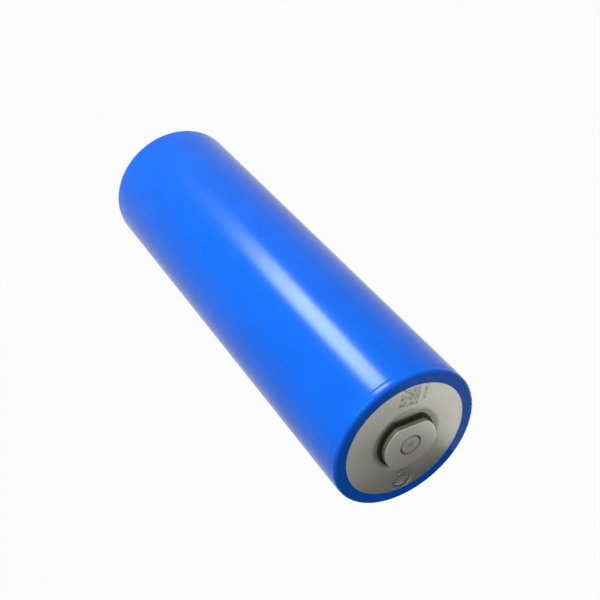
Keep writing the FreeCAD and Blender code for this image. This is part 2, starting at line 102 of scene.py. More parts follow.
class Finish:
    """A material whose colour, roughness and relief come from the shared grain, to be laid over or done.

    Its tone drifts from dark to light, and its roughness lies between the two given. The grain has this
    fineness, is this deep in metres, and is packed this many times closer along x, y and z.
    """

    def __init__(self, name, dark, light, rough, fineness, depth, stretch=(1, 1, 1), **settings):
        self.material = bpy.data.materials.new(name)
        self.material.use_nodes = True
        self.tree = self.material.node_tree
        self.shader = self.tree.nodes["Principled BSDF"]
        for socket, value in settings.items():
            self.shader.inputs[socket.replace("_", " ")].default_value = value
        self.place = self.tree.nodes.new("ShaderNodeTexCoord").outputs["Object"]
        given = {"Place": self.place, "Stretch": stretch, "Fineness": fineness}
        grain = add(self.tree, "ShaderNodeGroup", given, node_tree=GRAIN).outputs
        self.relief, self.tone = grain["Relief"], grain["Tone"]
        self.colour = between(self.tree, self.tone, dark, light)
        self.rough = spread(self.tree, self.relief, *rough, NOISE_LOW, NOISE_HIGH)
        self.height = self.relief
        self.depth = depth

    def done(self):
        """Links colour, roughness and relief as they now stand, and gives the material."""
        self.tree.links.new(self.colour, self.shader.inputs["Base Color"])
        self.tree.links.new(self.rough, self.shader.inputs["Roughness"])
        relief = {"Height": self.height, "Distance": self.depth, "Strength": 1.0}
        bump = add(self.tree, "ShaderNodeBump", relief)
        self.tree.links.new(bump.outputs["Normal"], self.shader.inputs["Normal"])
        return self.material


def dress(material, *names):
    """Gives a material to CAD nodes that are shown as they are."""
    for name in names:
        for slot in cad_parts[name].material_slots:
            slot.material = material


ROLLED_ROUND = (1, 1, 14)  # fine lines that run round the axis
dress(
    Finish("separator_film", (0.80, 0.81, 0.82), (0.90, 0.90, 0.90), (0.38, 0.52), 2600, 4e-6, ROLLED_ROUND,
           Subsurface_Weight=0.15, Subsurface_Radius=(0.0004, 0.0004, 0.0004)).done(),
    "separator_inner", "separator_outer",
)
dress(
    Finish("positive_foil", (0.74, 0.75, 0.76), (0.84, 0.85, 0.86), (0.20, 0.36), 2200, 5e-6, ROLLED_ROUND,
           Metallic=1.0).done(),
    "positive_foil",
)
dress(
    Finish("positive_paste", (0.022, 0.024, 0.026), (0.040, 0.042, 0.045), (0.72, 0.88), 5200, 9e-6).done(),
    "positive_coating_inner", "positive_coating_outer",
)
dress(
    Finish("negative_foil", (0.66, 0.31, 0.17), (0.78, 0.41, 0.24), (0.22, 0.38), 2200, 5e-6, ROLLED_ROUND,
           Metallic=1.0).done(),
    "negative_foil",
)
dress(
    Finish("negative_paste", (0.034, 0.034, 0.036), (0.056, 0.056, 0.060), (0.52, 0.70), 4200, 8e-6,
           Sheen_Weight=0.15).done(),
    "negative_coating_inner", "negative_coating_outer",
)
dress(
    Finish("green_tape", (0.035, 0.28, 0.10), (0.060, 0.40, 0.15), (0.22, 0.34), 1200, 6e-6, ROLLED_ROUND,
           Coat_Weight=0.3).done(),
    "closing_tape_top", "closing_tape_bottom",
)


# ---- Collectors and positive lead
# Discs of stamped sheet, laser-welded to the foils' bare edges at the two ends of the roll. The upper one
# and the folded lead are aluminium. The lower one is nickel-plated copper, welded to the can's floor.
dress(
    Finish("collector_sheet", (0.70, 0.71, 0.72), (0.82, 0.83, 0.84), (0.28, 0.46), 2400, 8e-6, (1, 9, 1),
           Metallic=1.0).done(),
    "positive_collector", "positive_lead",
)
dress(
    Finish("plated_copper_sheet", (0.56, 0.49, 0.41), (0.68, 0.61, 0.52), (0.26, 0.42), 2400, 8e-6, (9, 1, 1),
           Metallic=1.0).done(),
    "negative_collector",
)


# ---- Spacer collar and cover insulator
# Natural polypropylene, injection moulded. The collar holds the roll down off the cover, and the insulator is
# a flat ring between the cover's inner face and the rivet's head.
dress(
    Finish("natural_moulding", (0.66, 0.66, 0.64), (0.76, 0.76, 0.74), (0.42, 0.58), 1500, 1.2e-5,
           Subsurface_Weight=0.2, Subsurface_Radius=(0.001, 0.001, 0.001)).done(),
    "spacer_collar", "cover_insulator",
)


# ---- Terminal gasket and filling pin
# Fluororubber, compression moulded. The gasket is squeezed by the rivet's head against the cover, and the pin
# is pushed into the filling hole before the plug is welded over it.
dress(
    Finish("seal_rubber", (0.018, 0.018, 0.020), (0.034, 0.034, 0.038), (0.46, 0.66), 1900, 1e-5,
           Specular_IOR_Level=0.35).done(),
    "terminal_gasket", "fill_pin",
)


# ---- Can
# Deep-drawn steel, nickel plated before drawing, so its wall has fine lines along the draw. The floor carries
# the ring-shaped score that bursts as the vent, and five spot-weld marks over the negative collector.
MM = 0.001
ROUND = 256  # points round a turned piece
SLEEVE_TOP, COVER_TOP, FOOT = 133.0, 132.85, 0.15
CAN_RADIUS, BORE_RADIUS, RIM, FLOOR_TOP = 20.0, 19.55, 131.65, 0.95
CAN_SHOULDER, FLOOR_CORNER = 0.85, 0.4
VENT_RADIUS, VENT_WIDTH, VENT_DEPTH = 11.0, 0.5, 0.45
WELD_MARKS, WELD_MARK_CIRCLE, WELD_MARK_RADIUS, WELD_MARK_DEPTH = 5, 1.9, 0.55, 0.12
HEAT_FULL, HEAT_REACH, HEAT_MOST, STRAW = 0.675, 1.5, 0.85, (0.30, 0.22, 0.13)


def rounded(corners, steps=6):
    """A closed outline with rounded corners. A corner is (distance from the axis, height, corner radius)."""
    outline = []
    for i, (r, z, radius) in enumerate(corners):
        here = Vector((r, z))
        if not radius:
            outline.append(here)
            continue
        back = Vector(corners[i - 1][:2]) - here
        ahead = Vector(corners[(i + 1) % len(corners)][:2]) - here
        room = min(back.length, ahead.length)
        back.normalize(), ahead.normalize()
        half = back.angle(ahead) / 2
        reach = radius / math.tan(half)
        centre = here + (back + ahead).normalized() * (radius / math.sin(half))
        start, end = here + back * reach - centre, here + ahead * reach - centre
        turn = start.angle_signed(end)
        spare = min(reach * 0.3, (room - reach) * 0.4)  # a ring close by keeps the flat beside it flat
        if spare > 0.01:
            outline.append(here + back * (reach + spare))
        for k in range(steps + 1):
            c, s = math.cos(-turn * k / steps), math.sin(-turn * k / steps)
            outline.append(centre + Vector((start.x * c - start.y * s, start.x * s + start.y * c)))
        if spare > 0.01:
            outline.append(here + ahead * (reach + spare))
    return outline


def turned(name, outline, y=0.0, steps=ROUND):
    """A closed outline of (radius, height) in millimetres, turned round an upright line at this y."""
    outline = [tuple(p) for p in outline]
    area = sum(a[0] * b[1] - b[0] * a[1] for a, b in zip(outline, outline[1:] + outline[:1]))
    if area < 0:
        outline.reverse()
    points, rings = [], []
    for r, z in outline:
        if r < 1e-6:
            rings.append([len(points)] * steps)
            points.append((0.0, y * MM, z * MM))
            continue
        rings.append([len(points) + j for j in range(steps)])
        for j in range(steps):
            angle = 2 * math.pi * j / steps
            points.append((r * math.cos(angle) * MM, (y + r * math.sin(angle)) * MM, z * MM))
    return skinned(name, points, rings)


def skinned(name, points, rings):
    """A piece skinned over rings of points, the last joined to the first. A ring may be one point."""
    faces = []
    for low, high in zip(rings, rings[1:] + rings[:1]):
        for j in range(len(low)):
            k = (j + 1) % len(low)
            corners = list(dict.fromkeys([low[j], low[k], high[k], high[j]]))
            if len(corners) > 2:
                faces.append(corners)
    mesh = bpy.data.meshes.new(name)
    mesh.from_pydata(points, [], faces)
    piece = bpy.data.objects.new(name, mesh)
    bpy.context.scene.collection.objects.link(piece)
    return piece


def plain_mesh(piece):
    """Leaves a piece as the plain mesh that its modifiers make."""
    seen = piece.evaluated_get(bpy.context.evaluated_depsgraph_get())
    piece.data = bpy.data.meshes.new_from_object(seen)
    piece.modifiers.clear()


SLIVER = 1e-7  # in metres: points closer than this are one


def cut(piece, tool):
    """Takes a tool's shape out of a piece, and the slivers that this leaves."""
    boolean = piece.modifiers.new("cut", "BOOLEAN")
    boolean.object, boolean.solver, boolean.operation = tool, "EXACT", "DIFFERENCE"
    plain_mesh(piece)
    bpy.data.objects.remove(tool)
    mesh = bmesh.new()
    mesh.from_mesh(piece.data)
    bmesh.ops.triangulate(mesh, faces=[face for face in mesh.faces if len(face.verts) > 4])
    bmesh.ops.dissolve_degenerate(mesh, dist=SLIVER, edges=mesh.edges)
    mesh.to_mesh(piece.data)
    mesh.free()


def hand_over(piece, material, node, sharp=35):
    """Smooths a piece except at edges over sharp degrees, and puts it in its CAD node's place."""
    mesh = bmesh.new()
    mesh.from_mesh(piece.data)
    for face in mesh.faces:
        face.smooth = True
    for edge in mesh.edges:
        edge.smooth = not edge.is_manifold or edge.calc_face_angle() < math.radians(sharp)
    mesh.to_mesh(piece.data)
    mesh.free()
    piece.data.materials.clear()
    piece.data.materials.append(material)
    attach(piece, "root")
    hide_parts(node)


def geometry_tree(name, inputs):
    """An empty geometry tree with named inputs: the tree, its input node and its output node."""
    tree = bpy.data.node_groups.new(name, "GeometryNodeTree")
    tree.interface.new_socket("Geometry", in_out="INPUT", socket_type="NodeSocketGeometry")
    for socket, kind in inputs.items():
        tree.interface.new_socket(socket, in_out="INPUT", socket_type="NodeSocket" + kind)
    tree.interface.new_socket("Geometry", in_out="OUTPUT", socket_type="NodeSocketGeometry")
    return tree, tree.nodes.new("NodeGroupInput"), tree.nodes.new("NodeGroupOutput")


def run_tree(piece, tree, values):
    """Runs a geometry tree on a piece, and leaves the plain mesh that comes out."""
    modifier = piece.modifiers.new(tree.name, "NODES")
    modifier.node_group = tree
    for socket in tree.interface.items_tree:
        if socket.in_out == "INPUT" and socket.name in values:
            modifier[socket.identifier] = values[socket.name]
    plain_mesh(piece)


def reckon(tree, operation, *values):
    """The result of a sum, such as ADD or ABSOLUTE, on plain values or other nodes' outputs."""
    return add(tree, "ShaderNodeMath", dict(enumerate(values)), operation=operation).outputs[0]


def make_ring_tree():
    """Sets copies of a small shape evenly on a circle, facing out, their sizes and turns a little uneven."""
    tree, given, result = geometry_tree("ring_of_marks", {
        "Shape": "Object", "Count": "Int", "Circle": "Float", "Centre": "Vector",
        "Size Least": "Float", "Size Most": "Float", "Twist": "Float", "Seed": "Int", "Material": "Material",
    })
    g = given.outputs
    circle = add(tree, "GeometryNodeMeshCircle", {"Vertices": g["Count"], "Radius": g["Circle"]})
    place = tree.nodes.new("GeometryNodeInputPosition").outputs[0]
    place = add(tree, "ShaderNodeSeparateXYZ", {0: place}).outputs

    def drawn(least, most):
        limits = {2: least, 3: most, "Seed": g["Seed"]}
        return add(tree, "FunctionNodeRandomValue", limits, data_type="FLOAT").outputs[1]

    twist = drawn(reckon(tree, "MULTIPLY", g["Twist"], -1.0), g["Twist"])
    size = drawn(g["Size Least"], g["Size Most"])
    turn = reckon(tree, "ADD", reckon(tree, "ARCTAN2", place["Y"], place["X"]), twist)
    euler = add(tree, "ShaderNodeCombineXYZ", {"Z": turn})
    rotation = add(tree, "FunctionNodeEulerToRotation", {0: euler.outputs[0]})
    shape = add(tree, "GeometryNodeObjectInfo", {"Object": g["Shape"]})
    placed = add(tree, "GeometryNodeInstanceOnPoints", {
        "Points": circle.outputs["Mesh"], "Instance": shape.outputs["Geometry"],
        "Rotation": rotation.outputs[0], "Scale": size,
    })
    whole = add(tree, "GeometryNodeRealizeInstances", {"Geometry": placed.outputs[0]})
    moved = add(tree, "GeometryNodeTransform", {"Geometry": whole.outputs[0], "Translation": g["Centre"]})
    joined = add(tree, "GeometryNodeJoinGeometry", {"Geometry": moved.outputs[0]})
    tree.links.new(g["Geometry"], joined.inputs["Geometry"])
    given_finish = {"Geometry": joined.outputs[0], "Material": g["Material"]}
    finished = add(tree, "GeometryNodeSetMaterial", given_finish)
    tree.links.new(finished.outputs[0], result.inputs["Geometry"])
    return tree


RING_OF_MARKS = make_ring_tree()


def empty_piece(name):
    """A piece with nothing in it yet."""
    piece = bpy.data.objects.new(name, bpy.data.meshes.new(name))
    bpy.context.scene.collection.objects.link(piece)
    return piece


def heat_tint(finish, centres, full, reach, tint):
    """Tints a finish round welds at these centres, in full to one distance and fading out to the other."""
    tree, nearest = finish.tree, None
    for centre in centres:
        ends = {0: finish.place, 1: Vector(centre) * MM}
        away = add(tree, "ShaderNodeVectorMath", ends, operation="DISTANCE").outputs["Value"]
        nearest = reckon(tree, "MINIMUM", nearest, away) if nearest else away
    mask = spread(tree, nearest, HEAT_MOST, 0.0, full * MM, reach * MM)
    finish.colour = between(tree, mask, finish.colour, tint)


can = turned("can", rounded([
    (0, FOOT, 0),
    (VENT_RADIUS - VENT_WIDTH / 2, FOOT, 0.05),
    (VENT_RADIUS, FOOT + VENT_DEPTH, 0.04),
    (VENT_RADIUS + VENT_WIDTH / 2, FOOT, 0.05),
    (CAN_RADIUS, FOOT, CAN_SHOULDER),
    (CAN_RADIUS, RIM, 0),
    (BORE_RADIUS, RIM, 0),
    (BORE_RADIUS, FLOOR_TOP, FLOOR_CORNER),
    (0, FLOOR_TOP, 0),
]))
weld_mark = turned("weld_mark", rounded([
    (0, -WELD_MARK_DEPTH, 0), (WELD_MARK_RADIUS + 0.05, -WELD_MARK_DEPTH, 0),
    (WELD_MARK_RADIUS, 0, 0), (WELD_MARK_RADIUS * 0.86, WELD_MARK_DEPTH * 0.45, 0),
    (WELD_MARK_RADIUS * 0.55, WELD_MARK_DEPTH * 0.92, 0), (0, WELD_MARK_DEPTH, 0),
]), steps=32)
marks = empty_piece("weld_marks")
run_tree(marks, RING_OF_MARKS, {
    "Shape": weld_mark, "Count": WELD_MARKS, "Circle": WELD_MARK_CIRCLE * MM, "Centre": (0, 0, FOOT * MM),
    "Size Least": 0.93, "Size Most": 1.0, "Twist": 0.0, "Seed": 3,
})
bpy.data.objects.remove(weld_mark)
cut(can, marks)
steel = Finish("nickel_plated_steel", (0.50, 0.49, 0.465), (0.60, 0.59, 0.56), (0.26, 0.42), 2400, 6e-6,
               (6, 1, 1), Metallic=1.0)
weld_angles = [2 * math.pi * i / WELD_MARKS for i in range(WELD_MARKS)]
weld_centres = [(WELD_MARK_CIRCLE * math.cos(a), WELD_MARK_CIRCLE * math.sin(a), FOOT) for a in weld_angles]
heat_tint(steel, weld_centres, HEAT_FULL, HEAT_REACH, STRAW)
hand_over(can, steel.done(), "can")


# ---- Cover plate
# Stamped from plated sheet and welded to the can's rim. A shallow seat is pressed round the terminal, and a
# second one round the filling port. Its top is matte, with a laser-marked patch and a row of ticks beside it.
COVER_UNDER, SPIGOT_RADIUS = 131.05, 19.5
SEAT_RADIUS, SEAT_SLOPE, SEAT_FLOOR = 9.9, 1.7, 132.70
POCKET_FLOOR, POCKET_CORNER = 132.30, 1.35
INSULATOR_RADIUS, BLOCK_FLAT_DEPTH, CLEARANCE = 8.0, 1.1, 0.05
GASKET_RADIUS = 3.62
PORT_CENTRE, PORT_SEAT_RADIUS, PORT_SLOPE, PORT_FLOOR = 13.75, 3.6, 0.7, 132.70
PLUG_RADIUS, PLUG_GAP, PIN_SEAT, PORT_HOLE_RADIUS = 1.9, 0.02, 131.70, 0.9
OUT = 1.0  # how far a cutting shape stands out of the piece
CODE_CENTRE, CODE_SIZE, CODE_MODULES, CODE_TURN = (0.0, -13.7), 5.3, 16, -7.0
TICK_CENTRE, TICKS_HIGH, TICKS_LONG, TICK_ROWS, TICK_WIDTH = (-4.45, -14.1), 0.9, 5.6, 3, 0.16
CODE_BARE, TICKS_BARE = 0.52, 0.38  # the share of the marks that stay blank
MARK_COLOUR, MARK_MOST, MARK_ROUGHER = (0.13, 0.125, 0.115), 0.62, 0.18
# The colour, strength and reach of the painted shade on the cover round the terminal's pocket.
SEAT_SHADE_COLOUR, SEAT_SHADE_MOST, SEAT_SHADE_REACH = (0.12, 0.11, 0.095), 0.75, 1.5
SCUFF_LOW, SCUFF_HIGH = 0.66, 0.73  # where the noise crosses these, a scratch begins and is whole
PATCH_SCALE, PATCH_LOW, PATCH_HIGH = 190.0, 0.48, 0.66


def flatted_plan(radius, flat, corner, arc=20, bend=8, straight=10):
    """A round with flats on +Y and -Y, as points in order: one quarter, then its mirror images."""
    upright = flat - corner
    meet = math.asin(upright / (radius - corner))
    corner_x = (radius - corner) * math.cos(meet)
    quarter = [(radius * math.cos(meet * i / arc), radius * math.sin(meet * i / arc)) for i in range(arc)]
    for i in range(bend):
        angle = meet + (math.pi / 2 - meet) * i / bend
        quarter.append((corner_x + corner * math.cos(angle), upright + corner * math.sin(angle)))
    quarter += [(corner_x * (1 - i / straight), flat) for i in range(straight)]
    back = [(0.0, flat)] + [(-x, y) for x, y in quarter[:0:-1]]
    opposite = [(-x, -y) for x, y in quarter] + [(0.0, -flat)] + [(x, -y) for x, y in quarter[:0:-1]]
    return quarter + back + opposite


def lofted(name, sections):
    """A piece skinned over level rings. A section is (list of x, y; height), in millimetres."""
    points, rings = [], []
    for plan, z in sections:
        rings.append([len(points) + j for j in range(len(plan))])
        points += [(x * MM, y * MM, z * MM) for x, y in plan]
    return skinned(name, points, rings)


def pressed_step(outer, width, top, floor, steps=8):
    """The sloping edge of a pressed seat, from the top down to its floor, eased at both ends."""
    made = []
    for i in range(steps + 1):
        t = i / steps
        made.append((outer - width * t, top + (floor - top) * t * t * (3 - 2 * t)))
    return made


cover = turned("cover_plate", [
    (0, SEAT_FLOOR), (0, COVER_UNDER), (SPIGOT_RADIUS, COVER_UNDER), (SPIGOT_RADIUS, RIM),
    *rounded([
        (SPIGOT_RADIUS, RIM, 0), (CAN_RADIUS, RIM, 0),
        (CAN_RADIUS, COVER_TOP, CAN_SHOULDER), (0, COVER_TOP, 0),
    ])[1:-1],
    *pressed_step(SEAT_RADIUS, SEAT_SLOPE, COVER_TOP, SEAT_FLOOR),
])
pocket_radius = INSULATOR_RADIUS + CLEARANCE
pocket_flat = pocket_radius - BLOCK_FLAT_DEPTH
pocket_plan = flatted_plan(pocket_radius, pocket_flat, POCKET_CORNER)
pocket_axis = [(0.0, 0.0)] * len(pocket_plan)
pocket = lofted("pocket", [
    (pocket_axis, POCKET_FLOOR), (pocket_plan, POCKET_FLOOR),
    (pocket_plan, COVER_TOP + OUT), (pocket_axis, COVER_TOP + OUT),
])
closed = bmesh.new()
closed.from_mesh(pocket.data)
bmesh.ops.remove_doubles(closed, verts=closed.verts, dist=SLIVER)
bmesh.ops.recalc_face_normals(closed, faces=closed.faces)
closed.to_mesh(pocket.data)
closed.free()
cut(cover, pocket)
cut(cover, turned("gasket_hole", [
    (0, COVER_UNDER - OUT), (GASKET_RADIUS, COVER_UNDER - OUT), (GASKET_RADIUS, COVER_TOP), (0, COVER_TOP),
], steps=96))
cut(cover, turned("port", [
    (0, COVER_UNDER - OUT), (PORT_HOLE_RADIUS, COVER_UNDER - OUT), (PORT_HOLE_RADIUS, PIN_SEAT),
    (PLUG_RADIUS + PLUG_GAP, PIN_SEAT), (PLUG_RADIUS + PLUG_GAP, PORT_FLOOR),
    *reversed(pressed_step(PORT_SEAT_RADIUS, PORT_SLOPE, COVER_TOP, PORT_FLOOR)),
    (PORT_SEAT_RADIUS, COVER_TOP + OUT), (0, COVER_TOP + OUT),
], y=PORT_CENTRE, steps=128))


def make_scuffs():
    """Thin scratches in two directions, where a slow patchiness lets them through."""
    tree, given, result = effect("scuffs", {"Place": "Vector", "Fineness": "Float"}, ["Mask"])
    place, fineness = given.outputs["Place"], given.outputs["Fineness"]
    lines = []
    for turn, stretch in ((0.6, (1, 34, 1)), (2.1, (28, 1, 1))):
        laid = add(tree, "ShaderNodeMapping", {"Vector": place, "Rotation": (0, 0, turn), "Scale": stretch})
        grain = {"Vector": laid.outputs[0], "Scale": fineness, "Detail": 2.0, "Distortion": 0.15}
        noise = add(tree, "ShaderNodeTexNoise", grain)
        lines.append(spread(tree, noise.outputs["Fac"], 0, 1, SCUFF_LOW, SCUFF_HIGH))
    patches = add(tree, "ShaderNodeTexNoise", {"Vector": place, "Scale": PATCH_SCALE, "Detail": 2.0})
    patches = spread(tree, patches.outputs["Fac"], 0, 1, PATCH_LOW, PATCH_HIGH)
    mask = reckon(tree, "MULTIPLY", reckon(tree, "MAXIMUM", *lines), patches)
    tree.links.new(mask, result.inputs["Mask"])
    return tree


SCUFFS = make_scuffs()


def lay_scuffs(finish, fineness, colour, strength):
    """Lays scratches over a finish, in a colour of their own."""
    given = {"Place": finish.place, "Fineness": fineness}
    scuffs = add(finish.tree, "ShaderNodeGroup", given, node_tree=SCUFFS).outputs["Mask"]
    mask = spread(finish.tree, scuffs, 0, strength)
    finish.colour = between(finish.tree, mask, finish.colour, colour)


def laid_out(finish, centre, turn, scale):
    """Coordinates on the cover, counted in marks from a patch's centre: across, along."""
    laid = add(finish.tree, "ShaderNodeMapping", {
        "Vector": finish.place, "Location": (centre[0] * MM, centre[1] * MM, 0),
        "Rotation": (0, 0, math.radians(turn)), "Scale": (scale[0] * MM, scale[1] * MM, 1),
    }, vector_type="TEXTURE")
    parts = add(finish.tree, "ShaderNodeSeparateXYZ", {0: laid.outputs[0]})
    return parts.outputs["X"], parts.outputs["Y"]


def within(tree, value, low, high):
    """1 where a value lies between two limits, else 0."""
    above, below = reckon(tree, "GREATER_THAN", value, low), reckon(tree, "LESS_THAN", value, high)
    return reckon(tree, "MULTIPLY", above, below)


def chance(tree, across, along, bare):
    """1 in those marks of a grid that a fixed draw picks, else 0. A share of them stays bare."""
    cell = {"X": reckon(tree, "FLOOR", across), "Y": reckon(tree, "FLOOR", along), "Z": 7.0}
    cell = add(tree, "ShaderNodeCombineXYZ", cell)
    draw = add(tree, "ShaderNodeTexWhiteNoise", {"Vector": cell.outputs[0]}, noise_dimensions="3D")
    return reckon(tree, "GREATER_THAN", draw.outputs["Value"], bare)


def from_line(finish, y=0.0):
    """Distance, in metres, from an upright line at this y, which is in millimetres."""
    tree = finish.tree
    moved = add(tree, "ShaderNodeVectorMath", {0: finish.place, 1: (0, -y * MM, 0)}, operation="ADD")
    level = add(tree, "ShaderNodeVectorMath", {0: moved.outputs[0], 1: (1, 1, 0)}, operation="MULTIPLY")
    return add(tree, "ShaderNodeVectorMath", {0: level.outputs[0]}, operation="LENGTH").outputs["Value"]


plate = Finish("matte_cover_plate", (0.51, 0.495, 0.425), (0.56, 0.545, 0.475), (0.42, 0.54), 3600, 5e-6,
               (1, 3, 1), Metallic=1.0)
lay_scuffs(plate, 420, (0.62, 0.61, 0.57), 0.22)
tree = plate.tree
module = CODE_SIZE / CODE_MODULES
across, along = laid_out(plate, CODE_CENTRE, CODE_TURN, (module, module))
half = CODE_MODULES / 2
patch = reckon(tree, "MULTIPLY", within(tree, across, -half, half), within(tree, along, -half, half))
edges = reckon(tree, "MAXIMUM", within(tree, across, -half, 1 - half), within(tree, along, half - 1, half))
filled = reckon(tree, "MAXIMUM", edges, chance(tree, across, along, CODE_BARE))
code = reckon(tree, "MULTIPLY", patch, filled)
across, along = laid_out(plate, TICK_CENTRE, CODE_TURN, (TICKS_HIGH / TICK_ROWS, TICK_WIDTH))
high, long = TICK_ROWS / 2, TICKS_LONG / (2 * TICK_WIDTH)
row = reckon(tree, "MULTIPLY", within(tree, across, -high, high), within(tree, along, -long, long))
ticks = reckon(tree, "MULTIPLY", row, chance(tree, across, along, TICKS_BARE))
marked = spread(tree, reckon(tree, "MAXIMUM", code, ticks), 0, MARK_MOST)
plate.colour = between(tree, marked, plate.colour, MARK_COLOUR)
plate.rough = reckon(tree, "ADD", plate.rough, spread(tree, marked, 0, MARK_ROUGHER))

# Painted shade darkens the cover along the pocket's edge, round the insulator, a little unevenly.
sideways = reckon(tree, "ABSOLUTE", add(tree, "ShaderNodeSeparateXYZ", {0: plate.place}).outputs["Y"])
past_flat = reckon(tree, "SUBTRACT", sideways, pocket_flat * MM)
past_round = reckon(tree, "SUBTRACT", from_line(plate), pocket_radius * MM)
pocket_shade = spread(tree, reckon(tree, "MAXIMUM", past_flat, past_round), SEAT_SHADE_MOST, 0.0, 0.0, SEAT_SHADE_REACH * MM)
pocket_shade = reckon(tree, "MULTIPLY", pocket_shade, spread(tree, plate.tone, 0.7, 1.0))
plate.colour = between(tree, pocket_shade, plate.colour, SEAT_SHADE_COLOUR)
hand_over(cover, plate.done(), "cover_plate", sharp=30)


# ---- Terminal insulator
# Dark moulded plastic with glass fibre. Its flange lies in a pocket of the cover, and its neck lifts the block,
# so a dark band shows all round under the block.
FLANGE_TOP, NECK_TOP = 133.10, 133.70
NECK_RADIUS, NECK_CORNER, NECK_FOOT, FLANGE_CORNER, FLANGE_EDGE = 7.05, 0.35, 0.1, 1.3, 0.2
SHANK_HOLE = 2.77


def plan_of(radius, corner):
    """The outline of a piece with the terminal's two flats."""
    return flatted_plan(radius, radius - BLOCK_FLAT_DEPTH, corner)


def hole_in(plan, radius):
    """A round hole's points, each opposite a point of the outline round it."""
    angles = [math.atan2(y, x) for x, y in plan]
    return [(radius * math.cos(a), radius * math.sin(a)) for a in angles]


def edge_sections(radius, corner, edge, top, steps=6):
    """Sections that round a flatted piece's upper edge. The first and last keep its side and top flat."""
    made = [(plan_of(radius, corner), top - edge * 1.4)]
    for i in range(steps + 1):
        angle = math.pi / 2 * i / steps
        inset = edge * (1 - math.cos(angle))
        made.append((plan_of(radius - inset, corner - inset), top - edge * (1 - math.sin(angle))))
    return made + [(plan_of(radius - edge * 1.5, corner - edge * 1.5), top)]


flange_plan = plan_of(INSULATOR_RADIUS, FLANGE_CORNER)
neck_plan = plan_of(NECK_RADIUS, NECK_CORNER)
insulator = lofted("terminal_insulator", [
    (hole_in(neck_plan, SHANK_HOLE), NECK_TOP), (hole_in(neck_plan, SHANK_HOLE), POCKET_FLOOR),
    (flange_plan, POCKET_FLOOR),
    *edge_sections(INSULATOR_RADIUS, FLANGE_CORNER, FLANGE_EDGE, FLANGE_TOP),
    (plan_of(NECK_RADIUS + NECK_FOOT, NECK_CORNER + NECK_FOOT), FLANGE_TOP),
    (neck_plan, FLANGE_TOP + NECK_FOOT), (neck_plan, NECK_TOP),
])
moulding = Finish("dark_moulding", (0.013, 0.011, 0.009), (0.026, 0.022, 0.018), (0.42, 0.60), 1400, 3e-6,
                  Specular_IOR_Level=0.3)
hand_over(insulator, moulding.done(), "terminal_insulator")


# ---- Terminal block
# Machined aluminium with a matte, blasted top: a round with two flats that a tool can hold. Its upper edge is
# broken all round, and its hole is chamfered where the rivet's end is spun and welded in.
BLOCK_RADIUS, BLOCK_CORNER, BLOCK_EDGE, BLOCK_UNDER, TOP = 7.3, 0.6, 0.12, 133.70, 135.0
UNDER_EDGE = 0.05
RIVET_RADIUS, GROOVE, GROOVE_FAR = 2.72, 0.2, 0.32
GRIME_COLOUR, GRIME_MOST, GRIME_FULL, GRIME_REACH = (0.03, 0.028, 0.025), 0.92, 0.1485, 0.3645
SIDE_SHADE_COLOUR, SIDE_ROUGH, SIDE_RELIEF = (0.25, 0.24, 0.20), 0.75, 0.15  # the side is not blasted, so smoother; its darker colour is painted shade
SIDE_BELOW, SIDE_ABOVE = 0.11, 0.02  # depths under the top, between which the top's finish gives way to the side's, with painted shade that also darkens the rounded upper edge

block_plan = plan_of(BLOCK_RADIUS, BLOCK_CORNER)
block = lofted("terminal_block", [
    (hole_in(block_plan, RIVET_RADIUS + GROOVE_FAR), TOP), (hole_in(block_plan, RIVET_RADIUS + GROOVE), TOP),
    (hole_in(block_plan, RIVET_RADIUS), TOP - GROOVE), (hole_in(block_plan, RIVET_RADIUS), BLOCK_UNDER),
    (plan_of(BLOCK_RADIUS - UNDER_EDGE, BLOCK_CORNER - UNDER_EDGE), BLOCK_UNDER),
    (block_plan, BLOCK_UNDER + UNDER_EDGE),
    *edge_sections(BLOCK_RADIUS, BLOCK_CORNER, BLOCK_EDGE, TOP),
])


def grime_in_joint(finish):
    """Darkens a finish at the joint between the block and the rivet's end, unevenly."""
    tree = finish.tree
    away = reckon(tree, "ABSOLUTE", reckon(tree, "SUBTRACT", from_line(finish), RIVET_RADIUS * MM))
    mask = spread(tree, away, GRIME_MOST, 0.0, GRIME_FULL * MM, GRIME_REACH * MM)
    mask = reckon(tree, "MULTIPLY", mask, spread(tree, finish.tone, 0.75, 1.0))
    finish.colour = between(tree, mask, finish.colour, GRIME_COLOUR)


blasted = Finish("blasted_aluminium", (0.56, 0.555, 0.49), (0.61, 0.605, 0.535), (0.40, 0.52), 5200, 3e-6,
                 Metallic=1.0)
lay_scuffs(blasted, 520, (0.60, 0.59, 0.55), 0.25)
tree = blasted.tree
level = add(tree, "ShaderNodeSeparateXYZ", {0: blasted.place}).outputs["Z"]
on_side = spread(tree, level, 1.0, 0.0, (TOP - SIDE_BELOW) * MM, (TOP - SIDE_ABOVE) * MM)
# Painted shade: the side and the rounded upper edge are darker than the top.
blasted.colour = between(tree, on_side, blasted.colour, SIDE_SHADE_COLOUR)
blasted.rough = reckon(tree, "MULTIPLY", blasted.rough, spread(tree, on_side, 1.0, SIDE_ROUGH))
blasted.height = reckon(tree, "MULTIPLY", blasted.height, spread(tree, on_side, 1.0, SIDE_RELIEF))
grime_in_joint(blasted)
hand_over(block, blasted.done(), "terminal_block")


# ---- Terminal rivet
# Turned aluminium. Its head is inside the cell, its shank passes the gasket and the block, and its upper end is
# faced on a lathe, which leaves very fine rings and a small centre dimple.
RIVET_HEAD_RADIUS, RIVET_UNDER, INNER_UNDER = 8.0, 129.05, 130.25
HEAD_EDGE = 0.15
DIMPLE_RADIUS, DIMPLE_DEPTH, DIMPLE_ROWS, FLAT_FROM = 0.85, 0.05, 8, 1.02
